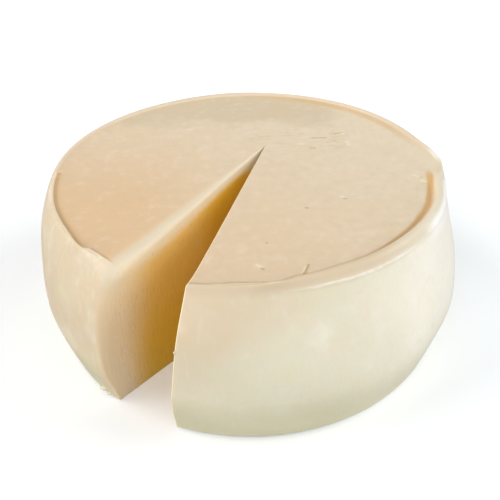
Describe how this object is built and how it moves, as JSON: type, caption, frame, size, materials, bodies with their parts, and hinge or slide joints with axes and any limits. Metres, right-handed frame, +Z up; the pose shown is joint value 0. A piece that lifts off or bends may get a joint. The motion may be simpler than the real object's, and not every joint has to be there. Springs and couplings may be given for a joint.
{
  "type": "cheese wheel",
  "caption": "Small wheel of pale fresh pressed cheese with bulging sides, a slightly sunken top and a narrow wedge-shaped notch where a slice was cut out.",
  "frame": {"origin": "centre of the wheel's bounding box, on the flat base it stands on", "axes": "+Z up along the wheel's axis, +X to the right of the shown side, -Y towards the viewer; the notch opens between -Y and -X"},
  "size_m": [0.1548, 0.1548, 0.0625],
  "materials": {
    "cheese": "smooth, slightly glossy moist paste"
  },
  "bodies": {
    "root": {"cheese_wheel": "cheese"}
  },
  "joints": []
}
